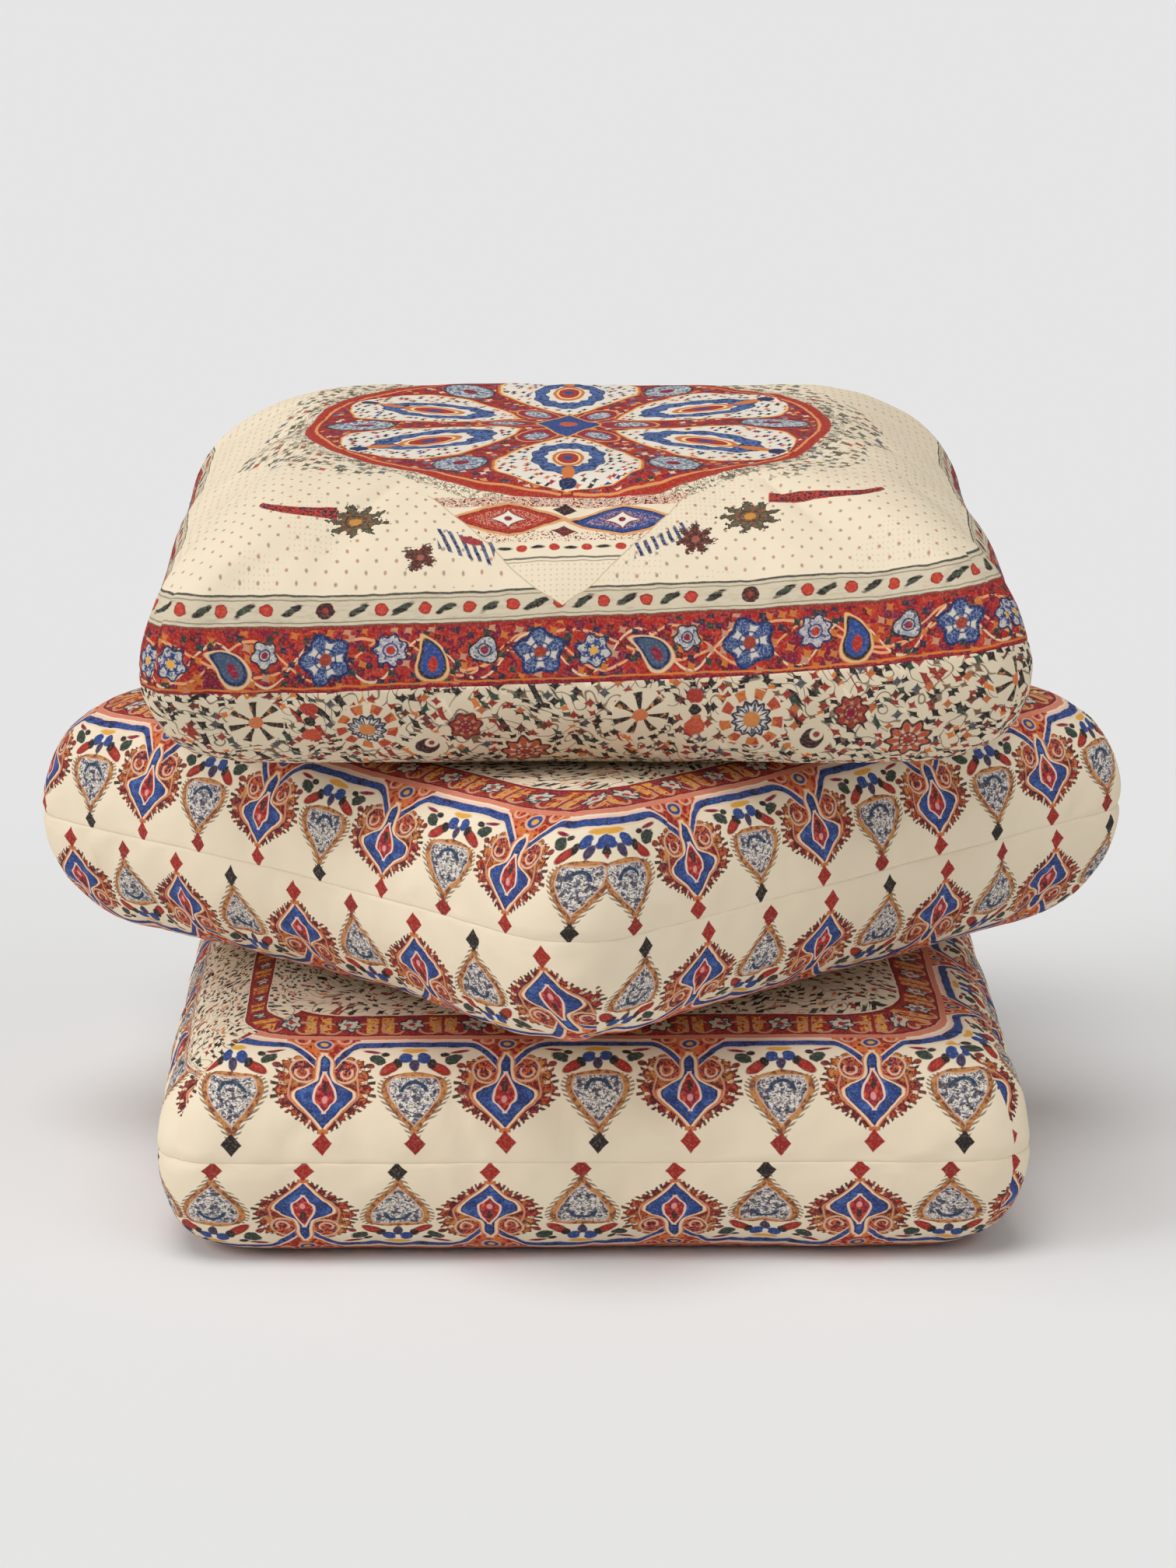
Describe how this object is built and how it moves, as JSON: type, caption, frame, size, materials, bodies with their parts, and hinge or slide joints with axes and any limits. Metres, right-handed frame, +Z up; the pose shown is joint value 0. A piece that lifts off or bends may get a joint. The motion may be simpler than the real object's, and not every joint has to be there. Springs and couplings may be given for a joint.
{
  "type": "cotton floor pouf stack",
  "caption": "Stack of square stuffed cotton floor poufs, the middle one turned an eighth of a turn, with block-printed zipped covers.",
  "frame": {"origin": "on the floor, under the middle of the stack", "axes": "+Z up through the stack; -Y towards the side that the picture shows; +X to that side's right"},
  "size_m": [0.7878, 0.7878, 0.5309],
  "materials": {
    "lambrequin_cotton": "plain-weave cotton, block printed in blue, red and black",
    "medallion_cotton": "plain-weave cotton, block printed with a medallion and a red border",
    "field_cotton": "plain-weave cotton, block printed with scrolls",
    "calico": "plain unbleached calico",
    "wadding": "soft polyester wadding",
    "foam": "open-cell foam",
    "zip_tape": "woven tape",
    "zip_coil": "nylon coil",
    "zip_metal": "dull antique brass"
  },
  "bodies": {
    "bottom_pouf": {"bottom_cover_lower": "lambrequin_cotton", "bottom_cover_upper": "lambrequin_cotton", "bottom_casing_lower": "calico", "bottom_casing_upper": "calico", "bottom_wadding_lower": "wadding", "bottom_wadding_upper": "wadding", "bottom_foam_core": "foam", "bottom_zip_tape_lower": "zip_tape", "bottom_zip_tape_upper": "zip_tape", "bottom_zip_coil_lower": "zip_coil", "bottom_zip_coil_upper": "zip_coil", "bottom_zip_stops": "zip_metal"},
    "bottom_zip_slider": {"bottom_zip_slider": "zip_metal"},
    "bottom_zip_pull": {"bottom_zip_pull": "zip_metal"},
    "middle_pouf": {"middle_cover_lower": "lambrequin_cotton", "middle_cover_upper": "lambrequin_cotton", "middle_casing_lower": "calico", "middle_casing_upper": "calico", "middle_wadding_lower": "wadding", "middle_wadding_upper": "wadding", "middle_foam_core": "foam", "middle_zip_tape_lower": "zip_tape", "middle_zip_tape_upper": "zip_tape", "middle_zip_coil_lower": "zip_coil", "middle_zip_coil_upper": "zip_coil", "middle_zip_stops": "zip_metal"},
    "middle_zip_slider": {"middle_zip_slider": "zip_metal"},
    "middle_zip_pull": {"middle_zip_pull": "zip_metal"},
    "top_pouf": {"top_cover_lower": "field_cotton", "top_cover_upper": "medallion_cotton", "top_casing_lower": "calico", "top_casing_upper": "calico", "top_wadding_lower": "wadding", "top_wadding_upper": "wadding", "top_foam_core": "foam", "top_zip_tape_lower": "zip_tape", "top_zip_tape_upper": "zip_tape", "top_zip_coil_lower": "zip_coil", "top_zip_coil_upper": "zip_coil", "top_zip_stops": "zip_metal"},
    "top_zip_slider": {"top_zip_slider": "zip_metal"},
    "top_zip_pull": {"top_zip_pull": "zip_metal"}
  },
  "joints": [
    {"name": "middle_pouf_lift", "type": "slide", "parent": "bottom_pouf", "child": "middle_pouf", "axis": [0, 0, 1], "range_m": [0, 0.25]},
    {"name": "top_pouf_lift", "type": "slide", "parent": "middle_pouf", "child": "top_pouf", "axis": [0, 0, 1], "range_m": [0, 0.25]},
    {"name": "bottom_zip_slide", "type": "slide", "parent": "bottom_pouf", "child": "bottom_zip_slider", "axis": [0.9999, 0.014, 0], "range_m": [0, 0.383]},
    {"name": "bottom_zip_pull_swing", "type": "hinge", "parent": "bottom_zip_slider", "child": "bottom_zip_pull", "pos_m": [-0.1897, 0.29948, 0.076], "axis": [0, 0, 1], "range_deg": [0, 180]},
    {"name": "middle_zip_slide", "type": "slide", "parent": "middle_pouf", "child": "middle_zip_slider", "axis": [0.7145, 0.6997, 0], "range_m": [0, 0.383]},
    {"name": "middle_zip_pull_swing", "type": "hinge", "parent": "middle_zip_slider", "child": "middle_zip_pull", "pos_m": [-0.34478, 0.07838, 0.2583], "axis": [0, 0, 1], "range_deg": [0, 180]},
    {"name": "top_zip_slide", "type": "slide", "parent": "top_pouf", "child": "top_zip_slider", "axis": [0.9999, 0.0157, 0], "range_m": [0, 0.383]},
    {"name": "top_zip_pull_swing", "type": "hinge", "parent": "top_zip_slider", "child": "top_zip_pull", "pos_m": [-0.19624, 0.30002, 0.4156], "axis": [0, 0, 1], "range_deg": [0, 180]}
  ]
}
